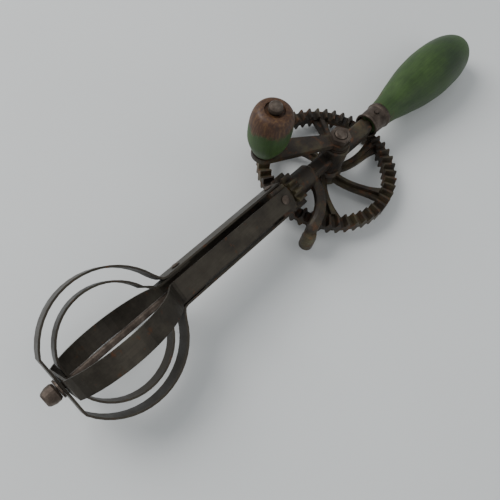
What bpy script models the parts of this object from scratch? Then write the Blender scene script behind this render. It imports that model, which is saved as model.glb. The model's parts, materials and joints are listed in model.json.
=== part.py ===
"""Hand-cranked rotary egg beater: cast frame, toothed drive wheel, pinion and a strip-metal dasher.

The beater is drawn about its own axis (X, towards the handle) with the drive wheel's axis along Z,
then one parent empty lays it down so that its cage and its handle both touch the ground plane.
Lengths are millimetres here and are scaled to metres where a mesh is made.
"""
import math

import bmesh
import bpy
from mathutils import Matrix, Vector

MM = 0.001
GAP = 0.3
ROUND_STEPS = 32

# Drive wheel and pinion
WHEEL_TEETH = 48
PINION_TEETH = 12
WHEEL_PITCH_R = 33.2
PINION_PITCH_R = WHEEL_PITCH_R * PINION_TEETH / WHEEL_TEETH
ADDENDUM = 1.1
DEDENDUM = 1.5
WHEEL_OUTER_R = 36.0
WHEEL_INNER_R = 30.2
WEB_THICKNESS = 2.8
WHEEL_TOP = -(PINION_PITCH_R - ADDENDUM)
WHEEL_MID = -(PINION_PITCH_R + DEDENDUM) - WEB_THICKNESS / 2
WHEEL_BOTTOM = 2 * WHEEL_MID - WHEEL_TOP
SPOKE_COUNT = 6
SPOKE_RIM_ANGLE = -14.0
SPOKE_SWEEP = 24.0
SPOKE_WIDTH = 4.6
SPOKE_FLARE = 2.6
SPOKE_THICKNESS = 2.2
RIB_WIDTH = 1.7
RIB_HEIGHT = 3.0
WHEEL_HUB_R = 7.6
WHEEL_HUB_TOP = -7.6
WHEEL_HUB_BOTTOM = -15.2
GAP_FLOOR_HALF = 0.8
GAP_MOUTH_HALF = 2.1

# Pinion: its teeth and the square block behind them, along the axis
PINION_X = (-35.7, -30.5)
PINION_NECK_R = 6.0
TOOTH_TIP_HALF = 0.5
TOOTH_ROOT_HALF = 1.15

# Frame casting
HUB_R = 6.6
HUB_TOP = 8.6
HUB_BOTTOM = -5.6
BAR_WIDTH = 8.0
BAR_TOP = 3.6
BAR_BOTTOM = -4.6
BEARING_X = (-29.6, -17.0)
BEARING_R = 5.8
TANG_R = 2.6
TANG_END = 74.0
TANG_PIN_X = 34.0
TANG_PIN_R = 1.0
GUIDE_POST = (-39.4, -20.8)
GUIDE_POST_R = 3.5
GUIDE_ARM_R = 2.9

# Crank
AXLE_R = 3.0
AXLE_TOP = 17.0
NUT_R = 5.2
NUT_HEIGHT = 2.9
WASHER_R = 5.8
CRANK_RADIUS = 38.0
CRANK_ANGLE = 150.0
CRANK_BOTTOM = 10.1
CRANK_THICKNESS = 2.8
CRANK_TOP = CRANK_BOTTOM + CRANK_THICKNESS
KNOB_PIN_R = 2.3
KNOB_BOTTOM = CRANK_TOP + 1.3
KNOB_TOP = 40.5
KNOB_R = 10.0
PIN_HEAD_R = 3.2

# Handle
FERRULE_X = (28.0, 40.0)
HANDLE_END = 121.0
HANDLE_MAX_R = 13.9
HANDLE_MAX_X = 88.0

# Dasher
SPINDLE_R = 1.6
STRIP_WIDTH = 9.4
STRIP_THICKNESS = 0.9
BLOCK_HALF = 6.5
BLOCK_X = (-46.0, -37.4)
STRIP_R = BLOCK_HALF + GAP + STRIP_THICKNESS / 2
NECK_X = -107.0
CAGE_CENTRE_X = -138.5
CAGE_R = 29.5
CAGE_BOTTOM_X = -164.6
INNER_CAGE_R = 23.5
INNER_BOTTOM_X = -160.6
OUTER_ANGLE = 30.0
CROSS_ANGLE = -60.0
FOOT_END_X = -172.5
FOOT_R = 3.9
RIVET_R = 1.2
RIVET_HEAD_R = 2.1

# The lying pose: the ground touches the cage's lowest strip edges and the handle's widest ring
CROSS_LEAN = math.radians(-CROSS_ANGLE)
CAGE_DROP = ((CAGE_R + STRIP_THICKNESS / 2) * math.sin(CROSS_LEAN)
             + STRIP_WIDTH / 2 * math.cos(CROSS_LEAN))
GROUND_SLOPE = (CAGE_DROP - HANDLE_MAX_R) / (HANDLE_MAX_X - CAGE_CENTRE_X)
GROUND_AT_WHEEL = HANDLE_MAX_R + HANDLE_MAX_X * GROUND_SLOPE
TILT = math.atan(GROUND_SLOPE)
CENTRE_X = (FOOT_END_X + HANDLE_END) / 2

for old in list(bpy.data.objects):
    bpy.data.objects.remove(old, do_unlink=True)

parts = bpy.data.collections.new("egg_beater")
cutters = bpy.data.collections.new("cutters")
bpy.context.scene.collection.children.link(parts)
bpy.context.scene.collection.children.link(cutters)

lay = bpy.data.objects.new("beater_axis", None)
lay.rotation_euler = (0.0, TILT, 0.0)
lay.location = (-CENTRE_X * math.cos(TILT) * MM, 0.0, GROUND_AT_WHEEL * math.cos(TILT) * MM)
parts.objects.link(lay)


def material(name, colour, roughness, metallic):
    """A plain Principled material."""
    made = bpy.data.materials.new(name)
    made.use_nodes = True
    shader = made.node_tree.nodes["Principled BSDF"]
    shader.inputs["Base Color"].default_value = (*colour, 1.0)
    shader.inputs["Roughness"].default_value = roughness
    shader.inputs["Metallic"].default_value = metallic
    return made


PAINT = (0.055, 0.105, 0.03)
CAST = (0.07, 0.05, 0.035)
STRIP = (0.06, 0.05, 0.04)
STEEL = (0.11, 0.09, 0.075)


def place(obj, name, colour=None, metallic=0.0, at=None):
    """Names an object, parents it to the beater's axis and files it as a part or as a cutter."""
    obj.name = name
    obj.data.name = name
    obj.parent = lay
    if at is not None:
        obj.matrix_local = at
    if colour is None:
        cutters.objects.link(obj)
        obj.hide_render = True
        obj.display_type = "WIRE"
    else:
        parts.objects.link(obj)
        obj.data.materials.append(material(name, colour, 0.55, metallic))
    return obj


def along_x(x=0.0, y=0.0, z=0.0):
    """Turns a piece made about Z so that its axis is the beater's axis, its top towards the handle."""
    return Matrix.Translation(Vector((x, y, z)) * MM) @ Matrix.Rotation(math.pi / 2, 4, "Y")


def upright(x=0.0, y=0.0, z=0.0):
    return Matrix.Translation(Vector((x, y, z)) * MM)


def turned(profile, steps=ROUND_STEPS, closed=False):
    """A turned solid: the profile (radius, height) runs down its outer side, top to bottom."""
    mesh = bpy.data.meshes.new("turned")
    points = [(radius * MM, 0.0, height * MM) for radius, height in profile]
    edges = [(i, i + 1) for i in range(len(points) - 1)]
    if closed:
        edges.append((len(points) - 1, 0))
    mesh.from_pydata(points, edges, [])
    obj = bpy.data.objects.new("turned", mesh)
    screw = obj.modifiers.new("Screw", "SCREW")
    screw.steps = steps
    screw.render_steps = steps
    screw.use_merge_vertices = True
    screw.merge_threshold = 0.00001
    return obj


def rod(radius, top, bottom, steps=ROUND_STEPS):
    return turned([(0, top), (radius, top), (radius, bottom), (0, bottom)], steps)


def ring(outer, inner, top, bottom, steps=ROUND_STEPS):
    return turned([(inner, top), (outer, top), (outer, bottom), (inner, bottom)], steps, closed=True)


def plate(outline, thickness):
    """A flat outline in XY as one closed mesh, centred on its thickness."""
    curve = bpy.data.curves.new("plate", "CURVE")
    curve.dimensions = "2D"
    curve.fill_mode = "BOTH"
    curve.extrude = thickness / 2 * MM
    spline = curve.splines.new("POLY")
    spline.points.add(len(outline) - 1)
    for point, (x, y) in zip(spline.points, outline):
        point.co = (x * MM, y * MM, 0.0, 1.0)
    spline.use_cyclic_u = True
    return solid_from_curve(curve)


def tube(path, radius):
    """A round bar along a path with closed ends."""
    curve = bpy.data.curves.new("tube", "CURVE")
    curve.dimensions = "3D"
    curve.bevel_depth = radius * MM
    curve.bevel_resolution = 3
    curve.use_fill_caps = True
    spline = curve.splines.new("POLY")
    spline.points.add(len(path) - 1)
    for point, place_at in zip(spline.points, path):
        point.co = (*(Vector(place_at) * MM), 1.0)
    return solid_from_curve(curve)


def solid_from_curve(curve):
    """Turns a curve into a mesh object whose caps are welded to its sides."""
    guide = bpy.data.objects.new("guide", curve)
    bpy.context.scene.collection.objects.link(guide)
    bpy.context.view_layer.update()
    evaluated = guide.evaluated_get(bpy.context.evaluated_depsgraph_get())
    mesh = bpy.data.meshes.new_from_object(evaluated)
    bpy.data.objects.remove(guide, do_unlink=True)
    welded = bmesh.new()
    welded.from_mesh(mesh)
    bmesh.ops.remove_doubles(welded, verts=welded.verts, dist=0.000002)
    bmesh.ops.recalc_face_normals(welded, faces=welded.faces)
    welded.to_mesh(mesh)
    welded.free()
    return bpy.data.objects.new("solid", mesh)


def box(low, high):
    """A block between two corners."""
    mesh = bpy.data.meshes.new("box")
    cube = bmesh.new()
    bmesh.ops.create_cube(cube, size=1.0)
    for vert in cube.verts:
        for axis in range(3):
            vert.co[axis] = (low[axis] if vert.co[axis] < 0 else high[axis]) * MM
    cube.to_mesh(mesh)
    cube.free()
    return bpy.data.objects.new("box", mesh)


def combine(obj, operation, *others):
    """Adds Boolean modifiers; each other object becomes a hidden operand."""
    for other in others:
        modifier = obj.modifiers.new(operation.title(), "BOOLEAN")
        modifier.operation = operation
        modifier.solver = "EXACT"
        modifier.object = other


def operand(obj, name, at=None):
    return place(obj, "cut_" + name, at=at or Matrix())


def smooth_through(points, per_span=4):
    """A Catmull-Rom curve through the points."""
    ends = [points[0]] + list(points) + [points[-1]]
    result = []
    for i in range(1, len(ends) - 2):
        a, b, c, d = (Vector(ends[k]) for k in (i - 1, i, i + 1, i + 2))
        for step in range(per_span):
            t = step / per_span
            result.append(0.5 * (2 * b + (c - a) * t + (2 * a - 5 * b + 4 * c - d) * t * t
                                 + (3 * b - a - 3 * c + d) * t ** 3))
    result.append(Vector(ends[-1]))
    return [tuple(point) for point in result]


def arc(centre, radius, start, end, steps):
    """Points on a circle from one angle to another, in degrees."""
    result = []
    for i in range(steps + 1):
        angle = math.radians(start + (end - start) * i / steps)
        result.append((centre[0] + radius * math.cos(angle), centre[1] + radius * math.sin(angle)))
    return result


def band(path, thickness):
    """The closed side outline of a strip that follows a path in its own plane."""
    left, right = [], []
    for i, point in enumerate(path):
        before = Vector(path[max(i - 1, 0)])
        after = Vector(path[min(i + 1, len(path) - 1)])
        along = (after - before).normalized()
        side = Vector((-along.y, along.x)) * thickness / 2
        left.append(tuple(Vector(point) + side))
        right.append(tuple(Vector(point) - side))
    return left + right[::-1]


# ---- drive wheel -------------------------------------------------------------------------------

def tooth_gap(angle, upper):
    """One radial tooth gap: a wedge that widens with the radius and towards the rim's face."""
    gap = box((0, 0, 0), (1, 1, 1)).data
    face = WHEEL_TOP if upper else WHEEL_BOTTOM
    floor = WHEEL_MID + WEB_THICKNESS / 2 * (1 if upper else -1)
    beyond = face + (1.0 if upper else -1.0)
    for vert in gap.vertices:
        radius = WHEEL_OUTER_R + 1.5 if vert.co.x > 0.0005 else WHEEL_INNER_R - 1.0
        high = vert.co.z > 0.0005
        half = (GAP_MOUTH_HALF if high else GAP_FLOOR_HALF) * radius / WHEEL_PITCH_R
        across = half if vert.co.y > 0.0005 else -half
        height = beyond if high else floor
        turn = math.radians(angle)
        vert.co = Vector((radius * math.cos(turn) - across * math.sin(turn),
                          radius * math.sin(turn) + across * math.cos(turn), height)) * MM
    return gap


def tooth_gaps():
    """All gaps of both toothed faces in one cutter mesh."""
    made = bmesh.new()
    for upper in (True, False):
        for i in range(WHEEL_TEETH):
            made.from_mesh(tooth_gap(i * 360.0 / WHEEL_TEETH, upper))
    bmesh.ops.recalc_face_normals(made, faces=made.faces)
    mesh = bpy.data.meshes.new("tooth_gaps")
    made.to_mesh(mesh)
    made.free()
    return bpy.data.objects.new("tooth_gaps", mesh)


def spoke_path(index, start_r, end_r, steps=8):
    """The curved centre line of one spoke, from the hub to the rim."""
    rim = SPOKE_RIM_ANGLE + index * 360.0 / SPOKE_COUNT
    result = []
    for i in range(steps + 1):
        t = i / steps
        radius = start_r + (end_r - start_r) * t
        angle = math.radians(rim - SPOKE_SWEEP * (1 - t) ** 1.6)
        result.append((radius * math.cos(angle), radius * math.sin(angle)))
    return result


def spoke_outline(index, width, start_r, end_r, flare):
    """A spoke's flat outline, flared where it runs into the rim."""
    path = spoke_path(index, start_r, end_r)
    left, right = [], []
    for i, point in enumerate(path):
        before = Vector(path[max(i - 1, 0)])
        after = Vector(path[min(i + 1, len(path) - 1)])
        along = (after - before).normalized()
        grow = flare * (i / (len(path) - 1)) ** 5
        side = Vector((-along.y, along.x)) * (width / 2 + grow)
        left.append(tuple(Vector(point) + side))
        right.append(tuple(Vector(point) - side))
    return left + right[::-1]


def drive_wheel():
    wheel = ring(WHEEL_OUTER_R, WHEEL_INNER_R, WHEEL_TOP, WHEEL_BOTTOM, steps=96)
    place(wheel, "drive_wheel", CAST, 0.6, at=Matrix())
    hub_profile = [(0, WHEEL_HUB_TOP), (WHEEL_HUB_R - 1.4, WHEEL_HUB_TOP),
                   (WHEEL_HUB_R, WHEEL_HUB_TOP - 1.4), (WHEEL_HUB_R, WHEEL_HUB_BOTTOM), (0, WHEEL_HUB_BOTTOM)]
    hub = operand(turned(hub_profile), "wheel_hub")
    combine(wheel, "UNION", hub)
    for i in range(SPOKE_COUNT):
        flat = spoke_outline(i, SPOKE_WIDTH, WHEEL_HUB_R - 1.0, WHEEL_INNER_R + 1.5, SPOKE_FLARE)
        flange = operand(plate(flat, SPOKE_THICKNESS), f"spoke_{i}", at=upright(z=WHEEL_MID - 0.6))
        narrow = spoke_outline(i, RIB_WIDTH, WHEEL_HUB_R - 0.7, WHEEL_INNER_R + 1.2, 0.5)
        rib = operand(plate(narrow, RIB_HEIGHT), f"spoke_rib_{i}", at=upright(z=WHEEL_MID + 1.4))
        combine(wheel, "UNION", flange, rib)
    combine(wheel, "DIFFERENCE", operand(tooth_gaps(), "tooth_gaps"))
    combine(wheel, "DIFFERENCE", operand(rod(AXLE_R + GAP, 0.0, -30.0), "wheel_bore"))


drive_wheel()

# ---- frame casting -----------------------------------------------------------------------------

pin_hole = operand(rod(TANG_PIN_R + GAP, 12.0, -12.0, 16), "tang_pin_hole", at=upright(x=TANG_PIN_X))

frame = turned([(0, HUB_TOP), (HUB_R - 0.6, HUB_TOP), (HUB_R, HUB_TOP - 0.8), (HUB_R, HUB_BOTTOM),
                (0, HUB_BOTTOM)])
place(frame, "frame_casting", CAST, 0.6, at=Matrix())
bar = box((2.0, -BAR_WIDTH / 2, BAR_BOTTOM), (FERRULE_X[0] - GAP, BAR_WIDTH / 2, BAR_TOP))
bar_bevel = bar.modifiers.new("Bevel", "BEVEL")
bar_bevel.width = 1.4 * MM
bar_bevel.segments = 3
web = box((BEARING_X[1] - 1.0, -3.4, BAR_BOTTOM), (-1.0, 3.4, BAR_TOP))
web_bevel = web.modifiers.new("Bevel", "BEVEL")
web_bevel.width = 1.1 * MM
web_bevel.segments = 2
bearing = turned([(0, BEARING_X[1]), (BEARING_R - 1.2, BEARING_X[1]), (BEARING_R, BEARING_X[1] - 1.5),
                  (BEARING_R, BEARING_X[0]), (0, BEARING_X[0])])
guide_path = smooth_through([(-19.0, -1.5, 0.0), (-20.5, -8.0, -0.8), (-25.0, -13.8, -1.8),
                             (-31.0, -17.6, -2.6), (-36.0, -19.2, -4.4), (-38.6, -20.2, -8.0),
                             (*GUIDE_POST, -14.0)], 3)
guide_arm = tube(guide_path, GUIDE_ARM_R)
guide_post = turned([(0, -5.2), (GUIDE_POST_R - 0.5, -5.2), (GUIDE_POST_R, -8.0), (GUIDE_POST_R, -15.4),
                     (GUIDE_POST_R - 0.5, -16.0), (0, -16.0)], 20)
combine(frame, "UNION",
        operand(bar, "frame_bar"),
        operand(web, "frame_web"),
        operand(bearing, "frame_bearing", at=along_x()),
        operand(guide_arm, "guide_arm"),
        operand(guide_post, "guide_post", at=upright(*GUIDE_POST)),
        operand(rod(TANG_R, TANG_END, 20.0, 20), "frame_tang", at=along_x()))
combine(frame, "DIFFERENCE",
        operand(rod(AXLE_R + GAP, 20.0, -20.0), "axle_bore"),
        operand(rod(SPINDLE_R + GAP, -20.5, -40.0, 20), "spindle_bore", at=along_x()),
        pin_hole)

# ---- handle ------------------------------------------------------------------------------------

handle_side = smooth_through([(6.7, 40.3), (7.6, 47.0), (9.9, 57.0), (12.3, 69.0), (13.6, 79.5),
                              (HANDLE_MAX_R, HANDLE_MAX_X), (13.3, 100.0), (11.6, 109.0),
                              (8.8, 115.5), (5.2, 119.4), (0.0, HANDLE_END)], 3)
tang_hole_end = TANG_END + 2.0
handle_profile = handle_side[::-1] + [(5.3, 40.3), (5.3, 30.0), (TANG_R + GAP, 30.0),
                                      (TANG_R + GAP, tang_hole_end), (0.0, tang_hole_end)]
handle = place(turned(handle_profile, 40), "handle", PAINT, at=along_x())
combine(handle, "DIFFERENCE", pin_hole)

ferrule = turned([(5.6, 40.0), (6.7, 40.0), (6.9, 38.6), (6.3, 37.4), (6.1, 29.4), (6.6, 28.6),
                  (6.4, 28.0), (5.6, 28.0)], closed=True)
place(ferrule, "handle_ferrule", STEEL, 0.8, at=along_x())
combine(ferrule, "DIFFERENCE", pin_hole)
place(rod(TANG_PIN_R, 6.9, -6.9, 16), "handle_pin", STEEL, 0.8, at=upright(x=TANG_PIN_X))

# ---- crank, axle and knob ----------------------------------------------------------------------

axle_foot = WHEEL_HUB_BOTTOM - GAP
axle_profile = [(0, AXLE_TOP), (AXLE_R - 0.6, AXLE_TOP), (AXLE_R, AXLE_TOP - 0.6), (AXLE_R, axle_foot),
                (AXLE_R + 2.2, axle_foot), (AXLE_R + 1.6, axle_foot - 0.9), (0, axle_foot - 1.3)]
place(turned(axle_profile, 24), "wheel_axle", STEEL, 0.8, at=Matrix())
place(ring(WASHER_R, AXLE_R + GAP, -6.1, -7.2, 24), "axle_washer_back", STEEL, 0.8, at=Matrix())
front_washer = ring(WASHER_R - 0.2, AXLE_R + GAP, CRANK_BOTTOM - GAP, HUB_TOP + GAP, 24)
place(front_washer, "axle_washer_front", STEEL, 0.8, at=Matrix())
nut = rod(NUT_R, CRANK_TOP + GAP + NUT_HEIGHT, CRANK_TOP + GAP, 6)
place(nut, "axle_nut", STEEL, 0.8, at=Matrix())
combine(nut, "DIFFERENCE", operand(rod(AXLE_R + GAP, 30.0, 5.0, 24), "nut_bore"))

crank_turn = Matrix.Rotation(math.radians(CRANK_ANGLE), 4, "Z")
crank_outline = (arc((0, 0), 5.4, 38, 322, 16) + arc((CRANK_RADIUS, 0), 6.0, -105, 105, 14))
crank = plate(crank_outline, CRANK_THICKNESS)
crank_at = upright(z=CRANK_BOTTOM + CRANK_THICKNESS / 2) @ crank_turn
place(crank, "crank_arm", CAST, 0.6, at=crank_at)
knob_turn = math.radians(CRANK_ANGLE)
knob_x = CRANK_RADIUS * math.cos(knob_turn)
knob_y = CRANK_RADIUS * math.sin(knob_turn)
combine(crank, "DIFFERENCE",
        operand(rod(AXLE_R + GAP, 20.0, 0.0, 24), "crank_axle_hole"),
        operand(rod(KNOB_PIN_R + GAP, 20.0, 0.0, 20), "crank_pin_hole", at=upright(knob_x, knob_y)))

knob_at = upright(knob_x, knob_y)
knob_side = smooth_through([(7.4, KNOB_TOP), (KNOB_R - 1.0, KNOB_TOP - 2.6), (KNOB_R - 0.1, KNOB_TOP - 7.0),
                            (KNOB_R, KNOB_TOP - 13.0), (KNOB_R - 0.6, KNOB_TOP - 18.5),
                            (7.8, KNOB_TOP - 23.0),
                            (6.2, KNOB_BOTTOM)], 3)
knob_profile = [(KNOB_PIN_R + GAP, KNOB_TOP + 0.6), (5.4, KNOB_TOP + 0.6)] + knob_side
knob_profile += [(KNOB_PIN_R + GAP, KNOB_BOTTOM)]
place(turned(knob_profile, 36, closed=True), "knob", PAINT, at=knob_at)
washer_low = CRANK_TOP + GAP
place(ring(5.0, KNOB_PIN_R + GAP, washer_low + 0.7, washer_low, 24), "knob_washer", STEEL, 0.8, at=knob_at)
head = KNOB_TOP + 0.9
pin_profile = [(0, head + 3.4), (2.2, head + 3.0), (3.1, head + 1.9), (PIN_HEAD_R, head),
               (KNOB_PIN_R, head),
               (KNOB_PIN_R, CRANK_BOTTOM + 0.1), (0, CRANK_BOTTOM + 0.1)]
place(turned(pin_profile, 24), "crank_pin", STEEL, 0.8, at=knob_at)

# ---- pinion ------------------------------------------------------------------------------------

def pinion_outline():
    """Twelve straight-sided teeth; one points straight down into the wheel's gap."""
    result = []
    tip_r = PINION_PITCH_R + ADDENDUM
    root_r = PINION_PITCH_R - DEDENDUM
    for i in range(PINION_TEETH):
        middle = math.radians(i * 360.0 / PINION_TEETH)
        for radius, half in ((root_r, -TOOTH_ROOT_HALF), (tip_r, -TOOTH_TIP_HALF),
                             (tip_r, TOOTH_TIP_HALF), (root_r, TOOTH_ROOT_HALF)):
            angle = middle + half / radius
            result.append((radius * math.cos(angle), radius * math.sin(angle)))
    return result


pinion = place(plate(pinion_outline(), PINION_X[1] - PINION_X[0]), "pinion", CAST, 0.6,
               at=along_x(x=sum(PINION_X) / 2))
block = box((BLOCK_X[0], -BLOCK_HALF, -BLOCK_HALF), (BLOCK_X[1], BLOCK_HALF, BLOCK_HALF))
turn_block = Matrix.Rotation(math.radians(OUTER_ANGLE), 4, "X")
block_hole = operand(rod(SPINDLE_R + GAP, -20.0, -60.0, 20), "pinion_bore", at=along_x())
combine(pinion, "UNION",
        operand(rod(PINION_NECK_R, PINION_X[1] - 1.0, BLOCK_X[0] + 1.0, 24), "pinion_neck", at=along_x()),
        operand(block, "pinion_block", at=turn_block))
combine(pinion, "DIFFERENCE", block_hole)
place(ring(4.4, SPINDLE_R + GAP, -29.8, -30.25, 24), "pinion_washer", STEEL, 0.8, at=along_x())

# ---- dasher strips and spindle -----------------------------------------------------------------

def cage_half(cage_r, bottom_x, strip_r, start_x, neck_x):
    """Half of a loop in (x, radius): straight run, neck, round belly and flat bottom."""
    neck = [(start_x, strip_r), (neck_x, strip_r)]
    meet = math.degrees(math.asin((strip_r + 4.2) / cage_r))
    bottom = math.degrees(math.acos((bottom_x - CAGE_CENTRE_X) / cage_r))
    belly = arc((CAGE_CENTRE_X, 0.0), cage_r, meet, bottom, 18)
    swing = [(neck_x - 1.8, strip_r + 0.5), (neck_x - 3.0, strip_r + 2.0)]
    swing = [point for point in swing if point[0] > belly[0][0] + 0.3]
    return neck + swing + belly


def loop_path(cage_r, bottom_x, strip_r, start_x, neck_x):
    half = cage_half(cage_r, bottom_x, strip_r, start_x, neck_x)
    return half + [(x, -radius) for x, radius in reversed(half)]


def dasher_loop(name, cage_r, bottom_x, strip_r, start_x, width, angle, neck_x=NECK_X):
    path = loop_path(cage_r, bottom_x, strip_r, start_x, neck_x)
    turn = Matrix.Rotation(math.radians(angle), 4, "X")
    return place(plate(band(path, STRIP_THICKNESS), width), name, STRIP, 0.7, at=turn)


spindle_hole = operand(rod(SPINDLE_R + GAP, -150.0, -180.0, 20), "strip_spindle_hole", at=along_x())
strip_start = BLOCK_X[1] - 0.2
inner_start = NECK_X + 12.0
inner_strip_r = STRIP_R - STRIP_THICKNESS - GAP
outer_loop = dasher_loop("outer_loop", CAGE_R, CAGE_BOTTOM_X, STRIP_R, strip_start, STRIP_WIDTH,
                         OUTER_ANGLE)
cross_loop = dasher_loop("cross_loop", CAGE_R - 0.2, CAGE_BOTTOM_X + 1.4, STRIP_R, strip_start,
                         STRIP_WIDTH, CROSS_ANGLE)
inner_loop = dasher_loop("inner_loop", INNER_CAGE_R, INNER_BOTTOM_X, inner_strip_r, inner_start, 7.4,
                         OUTER_ANGLE, NECK_X - 4.5)
for loop in (outer_loop, cross_loop, inner_loop):
    combine(loop, "DIFFERENCE", spindle_hole)


def radial(x, angle):
    """A frame at a place along the axis whose Z points outwards at an angle about the axis."""
    return (Matrix.Rotation(math.radians(angle), 4, "X") @ upright(x=x)
            @ Matrix.Rotation(-math.pi / 2, 4, "X"))


def rivet(name, at, low, high):
    """A flat-tailed rivet from a radius low to a radius high, with its domed head outside."""
    profile = [(0, high + 0.7), (1.3, high + 0.55), (RIVET_HEAD_R, high + 0.15), (RIVET_HEAD_R, high),
               (RIVET_R, high), (RIVET_R, low), (0, low)]
    place(turned(profile, 16), name, STEEL, 0.8, at=at)
    return operand(rod(RIVET_R + GAP, high + 3.0, low - GAP, 16), name + "_hole", at=at)


strip_outside = STRIP_R + STRIP_THICKNESS / 2 + GAP
block_rivet_x = (BLOCK_X[0] + BLOCK_X[1]) / 2
for i, (angle, loop) in enumerate(((OUTER_ANGLE, outer_loop), (CROSS_ANGLE, cross_loop),
                                   (OUTER_ANGLE + 180, outer_loop), (CROSS_ANGLE + 180, cross_loop))):
    hole = rivet(f"strip_rivet_{i + 1}", radial(block_rivet_x, angle), 3.2, strip_outside)
    combine(pinion, "DIFFERENCE", hole)
    combine(loop, "DIFFERENCE", hole)

for i, angle in enumerate((OUTER_ANGLE, OUTER_ANGLE + 180)):
    low = inner_strip_r - STRIP_THICKNESS / 2 - 0.8
    hole = rivet(f"inner_rivet_{i + 1}", radial(inner_start - 5.0, angle), low, strip_outside)
    combine(outer_loop, "DIFFERENCE", hole)
    combine(inner_loop, "DIFFERENCE", hole)

place(rod(SPINDLE_R, -21.0, -165.6, 20), "centre_spindle", STEEL, 0.8, at=along_x())
washer_top = CAGE_BOTTOM_X - STRIP_THICKNESS / 2 - GAP
place(ring(4.2, SPINDLE_R + GAP, washer_top, washer_top - 0.8, 24), "tip_washer", STEEL, 0.8, at=along_x())
foot_top = washer_top - 0.8 - GAP
foot_profile = [(0, foot_top), (FOOT_R - 0.6, foot_top), (FOOT_R, foot_top - 1.0), (FOOT_R, foot_top - 3.2),
                (FOOT_R - 0.7, FOOT_END_X + 0.7), (2.5, FOOT_END_X), (0, FOOT_END_X)]
place(turned(foot_profile, 24), "tip_foot", STEEL, 0.8, at=along_x())

for part in parts.objects:
    if part.type == "MESH":
        part.data.shade_smooth()
        part.data.set_sharp_from_angle(angle=math.radians(35))
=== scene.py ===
"""Looks for the rotary egg beater: worn green paint, brown cast iron and tarnished strip steel."""
import json
import math

import bmesh
import bpy
from mathutils import Matrix, Vector, noise


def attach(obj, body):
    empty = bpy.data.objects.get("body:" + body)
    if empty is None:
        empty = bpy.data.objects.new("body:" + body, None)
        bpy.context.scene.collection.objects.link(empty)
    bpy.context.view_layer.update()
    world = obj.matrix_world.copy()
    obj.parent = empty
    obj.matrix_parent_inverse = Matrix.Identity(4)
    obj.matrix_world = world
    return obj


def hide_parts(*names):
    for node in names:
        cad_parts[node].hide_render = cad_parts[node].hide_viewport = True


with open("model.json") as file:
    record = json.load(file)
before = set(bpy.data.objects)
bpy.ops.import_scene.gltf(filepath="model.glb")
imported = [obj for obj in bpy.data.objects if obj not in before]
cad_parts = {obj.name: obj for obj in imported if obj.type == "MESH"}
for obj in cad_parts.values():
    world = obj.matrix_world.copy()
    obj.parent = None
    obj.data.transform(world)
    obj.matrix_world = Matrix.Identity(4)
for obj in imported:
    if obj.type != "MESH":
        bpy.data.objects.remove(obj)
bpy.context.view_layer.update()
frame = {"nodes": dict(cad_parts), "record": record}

# ---- the beater's own frame: X along the spindle, Z along the drive wheel's axis, in metres ------

joints = {joint["name"]: joint for joint in frame["record"]["behaviour"]["joints"]}
AXIS_X = Vector(joints["dasher_spin"]["axis"]).normalized()
AXIS_Z = Vector(joints["crank_spin"]["axis"]).normalized()
AXIS_Y = AXIS_Z.cross(AXIS_X)
pinion_at = Vector(joints["dasher_spin"]["pos_m"])
wheel_at = Vector(joints["crank_spin"]["pos_m"])
ORIGIN = pinion_at + AXIS_X * (wheel_at - pinion_at).dot(AXIS_X)
BEATER = Matrix.Translation(ORIGIN) @ Matrix((AXIS_X, AXIS_Y, AXIS_Z)).transposed().to_4x4()
KNOB_AT = Vector(joints["knob_spin"]["pos_m"])
MM = 0.001

# ---- camera, floor and light ---------------------------------------------------------------------

CAMERA_AT = Vector((-0.1361, -0.0665, 0.2549))
CAMERA_BACK = Vector((-0.3628, -0.2262, 0.9040)).normalized()
CAMERA_ROLL = math.radians(13.0)
CAMERA_LENS = 41.5

level_right = Vector((0, 0, 1)).cross(CAMERA_BACK).normalized()
level_up = CAMERA_BACK.cross(level_right)
view_right = level_right * math.cos(CAMERA_ROLL) + level_up * math.sin(CAMERA_ROLL)
view_up = CAMERA_BACK.cross(view_right)
camera = bpy.data.objects.new("camera", bpy.data.cameras.new("camera"))
camera.data.lens = CAMERA_LENS
camera.data.sensor_width = 36.0
camera.data.clip_start = 0.01
camera.matrix_world = (Matrix.Translation(CAMERA_AT)
                       @ Matrix((view_right, view_up, CAMERA_BACK)).transposed().to_4x4())
bpy.context.scene.collection.objects.link(camera)
bpy.context.scene.camera = camera


def aim(obj, place, target):
    """Puts a light at a place, pointing at a target."""
    back = (Vector(place) - Vector(target)).normalized()
    obj.matrix_world = Matrix.Translation(place) @ back.to_track_quat("Z", "Y").to_matrix().to_4x4()


def soft_light(name, direction, distance, size, power):
    lamp = bpy.data.lights.new(name, "AREA")
    lamp.shape = "DISK"
    lamp.size = size
    lamp.energy = power
    obj = bpy.data.objects.new(name, lamp)
    bpy.context.scene.collection.objects.link(obj)
    aim(obj, direction.normalized() * distance, (0.0, 0.0, 0.0))


soft_light("window", view_up * 0.75 - view_right * 0.75 + CAMERA_BACK * 0.75, 1.3, 0.9, 14.0)
soft_light("fill", view_right * 0.8 + CAMERA_BACK * 0.9 - view_up * 0.2, 1.6, 1.4, 5.0)

world = bpy.data.worlds.new("room")
bpy.context.scene.world = world
world.use_nodes = True
world.node_tree.nodes["Background"].inputs["Color"].default_value = (0.80, 0.84, 0.88, 1.0)
world.node_tree.nodes["Background"].inputs["Strength"].default_value = 0.6


# ---- material helpers ----------------------------------------------------------------------------

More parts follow.
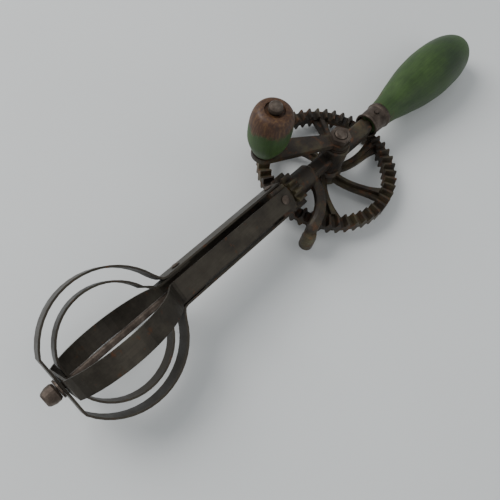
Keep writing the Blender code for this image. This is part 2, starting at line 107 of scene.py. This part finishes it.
class Nodes:
    """A Principled material whose texture space is the row frame, with short calls to add its nodes."""

    def __init__(self, name):
        self.material = bpy.data.materials.new(name)
        self.material.use_nodes = True
        self.tree = self.material.node_tree
        self.shader = self.tree.nodes["Principled BSDF"]
        self.place = self.add("ShaderNodeTexCoord").outputs["Object"]

    def add(self, kind, **values):
        node = self.tree.nodes.new(kind)
        for key, value in values.items():
            setattr(node, key, value)
        return node

    def link(self, source, target):
        self.tree.links.new(source, target)

    def stretched(self, scale):
        """The row frame's coordinates, scaled so that grain runs along the axis with the small scale."""
        stretch = self.add("ShaderNodeMapping")
        stretch.inputs["Scale"].default_value = scale
        self.link(self.place, stretch.inputs["Vector"])
        return stretch.outputs["Vector"]

    def noise(self, scale, detail=4.0, rough=0.6, vector=None, distortion=0.0):
        node = self.add("ShaderNodeTexNoise")
        node.inputs["Scale"].default_value = scale
        node.inputs["Detail"].default_value = detail
        node.inputs["Roughness"].default_value = rough
        node.inputs["Distortion"].default_value = distortion
        self.link(vector or self.place, node.inputs["Vector"])
        return node.outputs["Fac"]

    def ramp(self, source, stops):
        node = self.add("ShaderNodeValToRGB")
        elements = node.color_ramp.elements
        while len(elements) < len(stops):
            elements.new(0.5)
        for element, (position, colour) in zip(elements, stops):
            element.position = position
            red_green_blue = colour if isinstance(colour, tuple) else (colour, colour, colour)
            element.color = (*red_green_blue, 1.0)
        self.link(source, node.inputs["Fac"])
        return node.outputs["Color"]

    def mix(self, factor, first, second, blend="MIX"):
        node = self.add("ShaderNodeMix", data_type="RGBA", blend_type=blend)
        self.set(node.inputs[0], factor)
        self.set(node.inputs[6], first)
        self.set(node.inputs[7], second)
        return node.outputs[2]

    def set(self, socket, value):
        if isinstance(value, bpy.types.NodeSocket):
            self.link(value, socket)
        elif isinstance(value, tuple):
            socket.default_value = (*value, 1.0)
        else:
            socket.default_value = value

    def math(self, operation, first, second=0.5):
        node = self.add("ShaderNodeMath", operation=operation, use_clamp=operation != "POWER")
        self.set(node.inputs[0], first)
        self.set(node.inputs[1], second)
        return node.outputs[0]

    def bump(self, height, strength, distance, under=None):
        node = self.add("ShaderNodeBump")
        node.inputs["Strength"].default_value = strength
        node.inputs["Distance"].default_value = distance
        self.link(height, node.inputs["Height"])
        if under:
            self.link(under, node.inputs["Normal"])
        return node.outputs["Normal"]

    def height_mask(self, origin, axis, low, high):
        """0 below low and 1 above high along an axis through an origin, in metres."""
        shift = self.add("ShaderNodeVectorMath", operation="SUBTRACT")
        self.link(self.place, shift.inputs[0])
        shift.inputs[1].default_value = origin
        dot = self.add("ShaderNodeVectorMath", operation="DOT_PRODUCT")
        self.link(shift.outputs["Vector"], dot.inputs[0])
        dot.inputs[1].default_value = axis
        spread = self.add("ShaderNodeMapRange")
        self.link(dot.outputs["Value"], spread.inputs["Value"])
        spread.inputs["From Min"].default_value = low
        spread.inputs["From Max"].default_value = high
        return spread.outputs["Result"]


GRAIN_ALONG = 12.0
GRAIN_ACROSS = 160.0


def green_paint(name, origin, axis, worn_low, worn_high, wear):
    """Dark green paint on turned wood, chipped, and worn to brown past worn_high along the axis."""
    made = Nodes(name)
    if abs(axis.x) > 0.5:
        grain_scale = (GRAIN_ALONG, GRAIN_ACROSS, GRAIN_ACROSS)
    else:
        grain_scale = (GRAIN_ACROSS, GRAIN_ACROSS, GRAIN_ALONG)
    grain = made.noise(6.0, 5.0, 0.65, made.stretched(grain_scale))
    soft = made.noise(45.0, 4.0, 0.6)
    fine = made.noise(420.0, 3.0, 0.7)
    green = made.ramp(soft, ((0.3, (0.016, 0.036, 0.007)), (0.52, (0.030, 0.064, 0.012)),
                             (0.75, (0.052, 0.102, 0.022))))
    streaks = made.ramp(grain, ((0.35, 0.55), (0.6, 1.0)))
    green = made.mix(0.55, green, streaks, "MULTIPLY")
    wood = made.ramp(grain, ((0.3, (0.020, 0.008, 0.004)), (0.5, (0.058, 0.024, 0.010)),
                             (0.7, (0.115, 0.060, 0.022))))
    top = made.height_mask(origin, axis, worn_low, worn_high)
    patchy = made.math("ADD", made.math("MULTIPLY", top, wear), made.math("MULTIPLY", soft, 0.85))
    worn = made.math("ADD", patchy, made.math("MULTIPLY", fine, 0.18))
    chips = made.ramp(worn, ((0.72, 0.0), (0.80, 1.0)))
    made.set(made.shader.inputs["Base Color"], made.mix(chips, green, wood))
    made.set(made.shader.inputs["Roughness"], made.ramp(soft, ((0.3, 0.42), (0.7, 0.62))))
    made.shader.inputs["Specular IOR Level"].default_value = 0.4
    under = made.bump(grain, 0.35, 0.0004)
    edge = made.bump(chips, 0.5, 0.00025, under)
    made.set(made.shader.inputs["Normal"], made.bump(fine, 0.12, 0.0002, edge))
    return made.material


def cast_iron(name, rust=0.5):
    """Old brown cast iron: near black, with olive dust, rust spots and a coarse sand-cast skin."""
    made = Nodes(name)
    broad = made.noise(70.0, 5.0, 0.62)
    medium = made.noise(260.0, 5.0, 0.65)
    fine = made.noise(1500.0, 4.0, 0.7)
    base = made.ramp(broad, ((0.3, (0.010, 0.008, 0.006)), (0.48, (0.028, 0.020, 0.013)),
                             (0.62, (0.060, 0.048, 0.024)), (0.78, (0.12, 0.105, 0.048))))
    rusty = made.ramp(medium, ((0.56 - rust * 0.05, 0.0), (0.72, 1.0)))
    base = made.mix(rusty, base, (0.105, 0.042, 0.016))
    made.set(made.shader.inputs["Base Color"], base)
    made.shader.inputs["Metallic"].default_value = 0.35
    made.set(made.shader.inputs["Roughness"], made.ramp(medium, ((0.3, 0.42), (0.7, 0.72))))
    under = made.bump(medium, 0.5, 0.0005)
    made.set(made.shader.inputs["Normal"], made.bump(fine, 0.3, 0.00025, under))
    return made.material


def strip_steel(name):
    """Tarnished strip: dull grey brown with streaks along the beater's length and light rust."""
    made = Nodes(name)
    streak = made.noise(5.0, 4.0, 0.6, made.stretched((10.0, 260.0, 260.0)))
    blotch = made.noise(85.0, 5.0, 0.62)
    fine = made.noise(1300.0, 3.0, 0.7)
    base = made.ramp(blotch, ((0.3, (0.020, 0.016, 0.011)), (0.5, (0.040, 0.033, 0.024)),
                              (0.72, (0.070, 0.060, 0.044))))
    base = made.mix(0.5, base, made.ramp(streak, ((0.3, 0.6), (0.65, 1.0))), "MULTIPLY")
    rusty = made.ramp(made.noise(190.0, 5.0, 0.66), ((0.6, 0.0), (0.72, 1.0)))
    base = made.mix(rusty, base, (0.085, 0.035, 0.014))
    made.set(made.shader.inputs["Base Color"], base)
    made.shader.inputs["Metallic"].default_value = 0.65
    made.set(made.shader.inputs["Roughness"], made.ramp(blotch, ((0.3, 0.36), (0.7, 0.6))))
    under = made.bump(blotch, 0.2, 0.0004)
    made.set(made.shader.inputs["Normal"], made.bump(fine, 0.2, 0.00015, under))
    return made.material


def brown_steel(name):
    """Handled steel fittings with a brown skin, lighter and smoother in blotches."""
    made = Nodes(name)
    blotch = made.noise(160.0, 5.0, 0.65)
    fine = made.noise(1400.0, 3.0, 0.7)
    base = made.ramp(blotch, ((0.3, (0.032, 0.022, 0.016)), (0.52, (0.085, 0.064, 0.05)),
                              (0.75, (0.19, 0.155, 0.125))))
    made.set(made.shader.inputs["Base Color"], base)
    made.shader.inputs["Metallic"].default_value = 0.7
    made.set(made.shader.inputs["Roughness"], made.ramp(blotch, ((0.3, 0.62), (0.75, 0.38))))
    made.set(made.shader.inputs["Normal"], made.bump(fine, 0.22, 0.00015))
    return made.material


def pale_floor():
    made = Nodes("floor_grey")
    tone = made.noise(3.0, 3.0, 0.5)
    made.set(made.shader.inputs["Base Color"], made.ramp(tone, ((0.3, (0.62, 0.63, 0.62)),
                                                               (0.7, (0.68, 0.69, 0.68)))))
    made.shader.inputs["Roughness"].default_value = 0.85
    made.set(made.shader.inputs["Normal"], made.bump(made.noise(400.0, 4.0, 0.7), 0.05, 0.0003))
    return made.material


floor_mesh = bpy.data.meshes.new("floor")
floor_shape = bmesh.new()
bmesh.ops.create_grid(floor_shape, x_segments=2, y_segments=2, size=3.0)
floor_shape.to_mesh(floor_mesh)
floor_shape.free()
floor = bpy.data.objects.new("floor", floor_mesh)
floor.location.z = -0.0002
floor.data.materials.append(pale_floor())
bpy.context.scene.collection.objects.link(floor)

# ---- materials of the CAD nodes that stay --------------------------------------------------------

IRON = cast_iron("iron_frame")
WHEEL_IRON = cast_iron("iron_wheel", rust=0.9)
STRIP = strip_steel("strip_dull")
FITTING = brown_steel("fitting_steel")


def finish_node(name, material, edge=0.0):
    """Gives a CAD node its material and, where asked, softened edges."""
    obj = frame["nodes"][name]
    obj.data.materials.clear()
    obj.data.materials.append(material)
    if edge:
        bevel = obj.modifiers.new("soft_edges", "BEVEL")
        bevel.width = edge * MM
        bevel.segments = 2
        bevel.limit_method = "ANGLE"
        bevel.angle_limit = math.radians(40)


for node in frame["nodes"]:
    if node in ("frame_casting", "crank_arm", "pinion"):
        finish_node(node, IRON, 0.25)
    elif node == "drive_wheel":
        finish_node(node, WHEEL_IRON, 0.15)
    elif node.endswith("_loop"):
        finish_node(node, STRIP)
    elif node not in ("handle", "knob"):
        finish_node(node, FITTING)


# ---- turned wood ---------------------------------------------------------------------------------

def smooth_through(points, per_span):
    """A Catmull-Rom curve through the points."""
    ends = [points[0]] + list(points) + [points[-1]]
    result = []
    for i in range(1, len(ends) - 2):
        a, b, c, d = (Vector(ends[k]) for k in (i - 1, i, i + 1, i + 2))
        for step in range(per_span):
            t = step / per_span
            result.append(0.5 * (2 * b + (c - a) * t + (2 * a - 5 * b + 4 * c - d) * t * t
                                 + (3 * b - a - 3 * c + d) * t ** 3))
    result.append(Vector(ends[-1]))
    return result


DENT_DEPTH = 0.1
DENT_SCALE = 120.0
DENT_BIAS = 0.6  # above the noise's usual height, so that the wood is cut back and stays in its CAD box
UNDENTED_R = 0.003


def turned_wood(name, profile, steps, placing, material, body, replaced):
    """A turned piece whose surface keeps the small unevenness of old hand-held wood."""
    made = bmesh.new()
    verts = [made.verts.new((radius * MM, 0.0, height * MM)) for radius, height in profile]
    edges = [made.edges.new((verts[i], verts[i + 1])) for i in range(len(verts) - 1)]
    bmesh.ops.spin(made, geom=verts + edges, cent=(0, 0, 0), axis=(0, 0, 1), angle=math.tau,
                   steps=steps, use_merge=True, use_duplicate=False)
    bmesh.ops.remove_doubles(made, verts=made.verts, dist=0.00001)
    bmesh.ops.recalc_face_normals(made, faces=made.faces)
    for vert in made.verts:
        flat = Vector((vert.co.x, vert.co.y, 0.0))
        if flat.length > UNDENTED_R:
            amount = (noise.noise(vert.co * DENT_SCALE) - DENT_BIAS) * DENT_DEPTH * MM
            vert.co += flat.normalized() * amount
    made.transform(placing)
    mesh = bpy.data.meshes.new(name)
    made.to_mesh(mesh)
    made.free()
    mesh.shade_smooth()
    mesh.set_sharp_from_angle(angle=math.radians(50))
    obj = bpy.data.objects.new(name, mesh)
    obj.data.materials.append(material)
    bpy.context.scene.collection.objects.link(obj)
    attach(obj, body)
    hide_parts(replaced)


# The handle: a club shape, turned about the beater's axis, with its spigot inside the ferrule
FERRULE_FACE = 40.3
SPIGOT_R = 5.3
SPIGOT_END = 30.0
handle_side = smooth_through([(6.6, FERRULE_FACE), (7.5, 47.0), (9.8, 57.0), (12.2, 69.0), (13.5, 79.5),
                              (13.85, 88.0), (13.25, 100.0), (11.55, 109.0), (8.75, 115.5),
                              (5.15, 119.4), (0.0, 120.95)], 7)
handle_profile = [tuple(point) for point in handle_side[::-1]]
handle_profile += [(SPIGOT_R, FERRULE_FACE), (SPIGOT_R, SPIGOT_END), (0.0, SPIGOT_END)]
HANDLE_AT = BEATER @ Matrix.Rotation(math.pi / 2, 4, "Y")
handle_paint = green_paint("paint_handle", BEATER @ Vector((0.052, 0, 0)), -AXIS_X, -0.006, 0.012, 0.2)
turned_wood("handle_wood", handle_profile, 96, HANDLE_AT, handle_paint, "frame", "handle")

# The knob: a barrel with a shallow recess round the pin
KNOB_BOTTOM = 14.2
KNOB_TOP = 41.1
KNOB_BORE_R = 2.6
knob_side = smooth_through([(5.2, KNOB_TOP - 0.1), (7.4, KNOB_TOP - 0.8), (8.95, KNOB_TOP - 3.2),
                            (9.8, KNOB_TOP - 7.6), (9.9, KNOB_TOP - 13.6), (9.3, KNOB_TOP - 19.1),
                            (7.7, KNOB_TOP - 23.6), (6.1, KNOB_BOTTOM)], 6)
knob_profile = [(KNOB_BORE_R, KNOB_TOP - 1.2), (4.4, KNOB_TOP - 0.9), (4.7, KNOB_TOP - 0.1)]
knob_profile += [tuple(point) for point in knob_side]
knob_profile += [(KNOB_BORE_R, KNOB_BOTTOM), (KNOB_BORE_R, KNOB_TOP - 1.2)]
knob_flat = KNOB_AT - AXIS_Z * (KNOB_AT - ORIGIN).dot(AXIS_Z)
KNOB_PLACE = Matrix.Translation(knob_flat - ORIGIN) @ BEATER
knob_paint = green_paint("paint_knob", KNOB_PLACE @ Vector((0, 0, 0.030)), AXIS_Z, -0.004, 0.008, 0.42)
turned_wood("knob_wood", knob_profile, 72, KNOB_PLACE, knob_paint, "knob", "knob")
